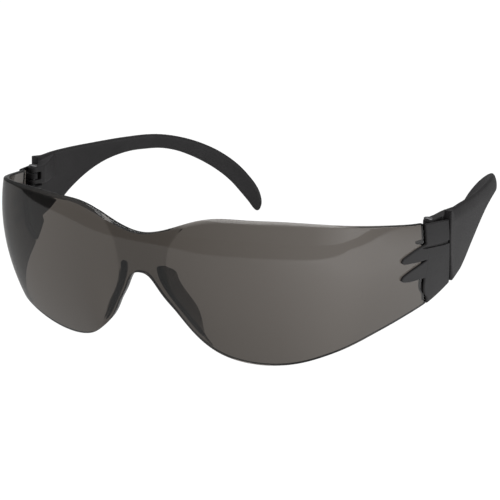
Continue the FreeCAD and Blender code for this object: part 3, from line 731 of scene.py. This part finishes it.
def plastic(name, base, var, rough, grain_scale, grain, spec=0.5):
    m, nt, out = new_material(name)
    bs = nt.nodes.new("ShaderNodeBsdfPrincipled")
    bs.inputs["IOR"].default_value = 1.5
    bs.inputs["Specular IOR Level"].default_value = spec
    co = nt.nodes.new("ShaderNodeTexCoord").outputs["Object"]
    flow = noise(nt, co, 55.0, 4.0, 0.6, 0.8)
    ramp = nt.nodes.new("ShaderNodeValToRGB")
    ramp.color_ramp.elements[0].position = 0.3
    ramp.color_ramp.elements[1].position = 0.72
    lo = tuple(c * (1 - var) for c in base) + (1,)
    hi = tuple(c * (1 + var) for c in base) + (1,)
    ramp.color_ramp.elements[0].color = lo
    ramp.color_ramp.elements[1].color = hi
    nt.links.new(flow.outputs["Fac"], ramp.inputs["Fac"])
    nt.links.new(ramp.outputs["Color"], bs.inputs["Base Color"])
    g = noise(nt, co, grain_scale, 2.0, 0.5)
    nt.links.new(remap(nt, g.outputs["Fac"], 0.3, 0.7, rough[0], rough[1]), bs.inputs["Roughness"])
    bump = nt.nodes.new("ShaderNodeBump")
    bump.inputs["Strength"].default_value = grain
    bump.inputs["Distance"].default_value = 0.0001
    nt.links.new(g.outputs["Fac"], bump.inputs["Height"])
    nt.links.new(bump.outputs["Normal"], bs.inputs["Normal"])
    nt.links.new(bs.outputs["BSDF"], out.inputs["Surface"])
    return m


def steel():
    m, nt, out = new_material("pin_steel")
    bs = nt.nodes.new("ShaderNodeBsdfPrincipled")
    bs.inputs["Metallic"].default_value = 1.0
    co = nt.nodes.new("ShaderNodeTexCoord").outputs["Object"]
    mp = nt.nodes.new("ShaderNodeMapping")
    mp.inputs["Scale"].default_value = (1.0, 1.0, 14.0)
    nt.links.new(co, mp.inputs["Vector"])
    n = noise(nt, mp.outputs["Vector"], 900.0, 3.0)
    ramp = nt.nodes.new("ShaderNodeValToRGB")
    ramp.color_ramp.elements[0].color = (0.16, 0.16, 0.165, 1)
    ramp.color_ramp.elements[1].color = (0.38, 0.38, 0.39, 1)
    nt.links.new(n.outputs["Fac"], ramp.inputs["Fac"])
    nt.links.new(ramp.outputs["Color"], bs.inputs["Base Color"])
    nt.links.new(remap(nt, n.outputs["Fac"], 0.3, 0.7, 0.22, 0.42), bs.inputs["Roughness"])
    nt.links.new(bs.outputs["BSDF"], out.inputs["Surface"])
    return m


MAT_LENS = lens_material()
MAT_TEMPLE = plastic("temple_nylon", (0.022, 0.0205, 0.022), 0.22, (0.40, 0.52), 2600.0, 0.35)
MAT_END = plastic("end_piece_nylon", (0.024, 0.023, 0.0245), 0.18, (0.38, 0.48), 2600.0, 0.18, 0.4)
MAT_PIN = steel()


def dress(ob, mat):
    ob.data.materials.clear()
    ob.data.materials.append(mat)


dress(lens, MAT_LENS)
for o in (ep_left, ep_right):
    dress(o, MAT_END)
for o in (t_left, t_right):
    dress(o, MAT_TEMPLE)
for nm in ("left_hinge_pin", "right_hinge_pin"):
    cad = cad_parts[nm]
    for sl in cad.material_slots:
        sl.material = MAT_PIN

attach(lens, "front")
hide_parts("lens")
for ob, nd in ((ep_left, "left_end_piece"), (ep_right, "right_end_piece")):
    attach(ob, "front")
    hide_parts(nd)
for ob, nd, body in ((t_left, "left_temple", "left_arm"), (t_right, "right_temple", "right_arm")):
    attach(ob, body)
    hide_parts(nd)

# ----------------------------------------------------------------------- stage
me = bpy.data.meshes.new("floor")
bm = bmesh.new()
bmesh.ops.create_grid(bm, x_segments=2, y_segments=2, size=6.0)
bm.to_mesh(me)
bm.free()
floor = bpy.data.objects.new("floor", me)
bpy.context.scene.collection.objects.link(floor)
floor.location = (0, 0, -0.0003)

m, nt, out = new_material("studio_floor")
geo = nt.nodes.new("ShaderNodeNewGeometry")
sep = nt.nodes.new("ShaderNodeSeparateXYZ")
nt.links.new(geo.outputs["Position"], sep.inputs[0])
# painted reflection: in mirror reflections only, the floor shows as a lit board under and behind the glasses,
# painted dim in front of its edge
edge = remap(nt, sep.outputs["Y"], -0.301, -0.266, 0.0, 1.0)
side = remap(nt, sep.outputs["X"], 0.46, 0.38, 0.0, 1.0)
mul = nt.nodes.new("ShaderNodeMath")
mul.operation = "MULTIPLY"
nt.links.new(edge, mul.inputs[0])
nt.links.new(side, mul.inputs[1])
# painted shade in reflections: in mirror reflections only, the floor's glow is painted dimmer to the left and
# behind, standing in for black flags there
left = remap(nt, sep.outputs["X"], 0.04, 0.15, 0.36, 1.0)
rear = remap(nt, sep.outputs["Y"], 0.00, 0.12, 1.0, 0.30)


def math_node(tree, op, a, b):
    n = tree.nodes.new("ShaderNodeMath")
    n.operation = op
    for k, v in enumerate((a, b)):
        if isinstance(v, float):
            n.inputs[k].default_value = v
        else:
            tree.links.new(v, n.inputs[k])
    return n.outputs[0]


# camera and diffuse rays see the floor evenly bright; only mirror reflections get the painted board edge and fade
lp = nt.nodes.new("ShaderNodeLightPath")
painted_reflection_fade = math_node(nt, "MULTIPLY", left, rear)
mirror = math_node(nt, "MULTIPLY", lp.outputs["Is Glossy Ray"],
                   math_node(nt, "SUBTRACT", 1.0, lp.outputs["Is Transmission Ray"]))
matte = math_node(nt, "SUBTRACT", 1.0, mirror)
painted_reflection_glow = math_node(nt, "MAXIMUM", math_node(nt, "MULTIPLY", mul.outputs[0], painted_reflection_fade), matte)
mx = nt.nodes.new("ShaderNodeMath")
mx.operation = "MAXIMUM"
nt.links.new(painted_reflection_glow, mx.inputs[0])
nt.links.new(lp.outputs["Is Camera Ray"], mx.inputs[1])
em = nt.nodes.new("ShaderNodeEmission")
nt.links.new(remap(nt, mx.outputs[0], 0, 1, 0.05, 1.0), em.inputs["Strength"])
em.inputs["Color"].default_value = (1, 1, 1, 1)
df = nt.nodes.new("ShaderNodeBsdfDiffuse")
df.inputs["Color"].default_value = (0.10, 0.10, 0.10, 1)
add = nt.nodes.new("ShaderNodeAddShader")
nt.links.new(em.outputs[0], add.inputs[0])
nt.links.new(df.outputs[0], add.inputs[1])
nt.links.new(add.outputs[0], out.inputs["Surface"])
me.materials.append(m)

world = bpy.data.worlds.new("studio")
bpy.context.scene.world = world
world.use_nodes = True
wt = world.node_tree
wt.nodes.clear()
wo = wt.nodes.new("ShaderNodeOutputWorld")
bg = wt.nodes.new("ShaderNodeBackground")
tc = wt.nodes.new("ShaderNodeTexCoord")
ws = wt.nodes.new("ShaderNodeSeparateXYZ")
wt.links.new(tc.outputs["Generated"], ws.inputs[0])
ramp = wt.nodes.new("ShaderNodeValToRGB")
els = ramp.color_ramp.elements
els[0].position, els[0].color = 0.0, (0.10, 0.10, 0.10, 1)
els[1].position, els[1].color = 1.0, (0.55, 0.55, 0.55, 1)
for p, c in ((0.30, 0.12), (0.55, 0.28), (0.80, 0.5)):
    e = els.new(p)
    e.color = (c, c, c, 1)
wt.links.new(ws.outputs["Z"], ramp.inputs["Fac"])
# painted reflection: a low strip of glow on the right shows in mirror-like reflections only and lights nothing
lpw = wt.nodes.new("ShaderNodeLightPath")
strip = remap(wt, ws.outputs["X"], 0.35, 0.85, 0.03, 1.0)
low = remap(wt, ws.outputs["Z"], 0.15, 0.40, 1.0, 0.0)
gloss = math_node(wt, "MULTIPLY", lpw.outputs["Is Glossy Ray"],
                  math_node(wt, "SUBTRACT", 1.0, lpw.outputs["Is Transmission Ray"]))
painted_strip_reflection = math_node(wt, "MULTIPLY", math_node(wt, "MULTIPLY", strip, low), gloss)
sky = wt.nodes.new("ShaderNodeMix")
sky.data_type = "RGBA"
sky.blend_type = "ADD"
sky.inputs["Factor"].default_value = 1.0
wt.links.new(ramp.outputs["Color"], sky.inputs["A"])
wt.links.new(painted_strip_reflection, sky.inputs["B"])
mixw = wt.nodes.new("ShaderNodeMix")
mixw.data_type = "RGBA"
wt.links.new(lpw.outputs["Is Camera Ray"], mixw.inputs["Factor"])
wt.links.new(sky.outputs["Result"], mixw.inputs["A"])
mixw.inputs["B"].default_value = (1, 1, 1, 1)
wt.links.new(mixw.outputs["Result"], bg.inputs["Color"])
bg.inputs["Strength"].default_value = 1.0
wt.links.new(bg.outputs[0], wo.inputs["Surface"])


def area(name, loc, target, size, power):
    li = bpy.data.lights.new(name, "AREA")
    li.shape = "RECTANGLE"
    li.size, li.size_y = size
    li.energy = power
    ob = bpy.data.objects.new(name, li)
    bpy.context.scene.collection.objects.link(ob)
    ob.location = loc
    ob.rotation_euler = (Vector(target) - Vector(loc)).to_track_quat("-Z", "Y").to_euler()
    return ob


area("softbox_top", (-0.15, 0.15, 1.1), (0, 0, 0.02), (0.9, 0.7), 3.0)

# ---------------------------------------------------------------------- camera
cam = bpy.data.cameras.new("camera")
cam.sensor_width = 36.0
cam.lens = 133.779
cam.clip_start, cam.clip_end = 0.01, 50
cam_ob = bpy.data.objects.new("camera", cam)
bpy.context.scene.collection.objects.link(cam_ob)
right = Vector((0.869903, 0.491723, -0.038445))
up = Vector((-0.130238, 0.304181, 0.943669))
fwd = Vector((-0.475718, 0.815893, -0.328649))
rot = Matrix((right, up, -fwd)).transposed()
cam_ob.matrix_world = Matrix.Translation((0.280927, -0.487854, 0.208037)) @ rot.to_4x4()
bpy.context.scene.camera = cam_ob

sc = bpy.context.scene
sc.view_settings.view_transform = "Standard"
sc.view_settings.look = "None"
sc.cycles.max_bounces = 16
sc.cycles.transmission_bounces = 16
sc.cycles.transparent_max_bounces = 16
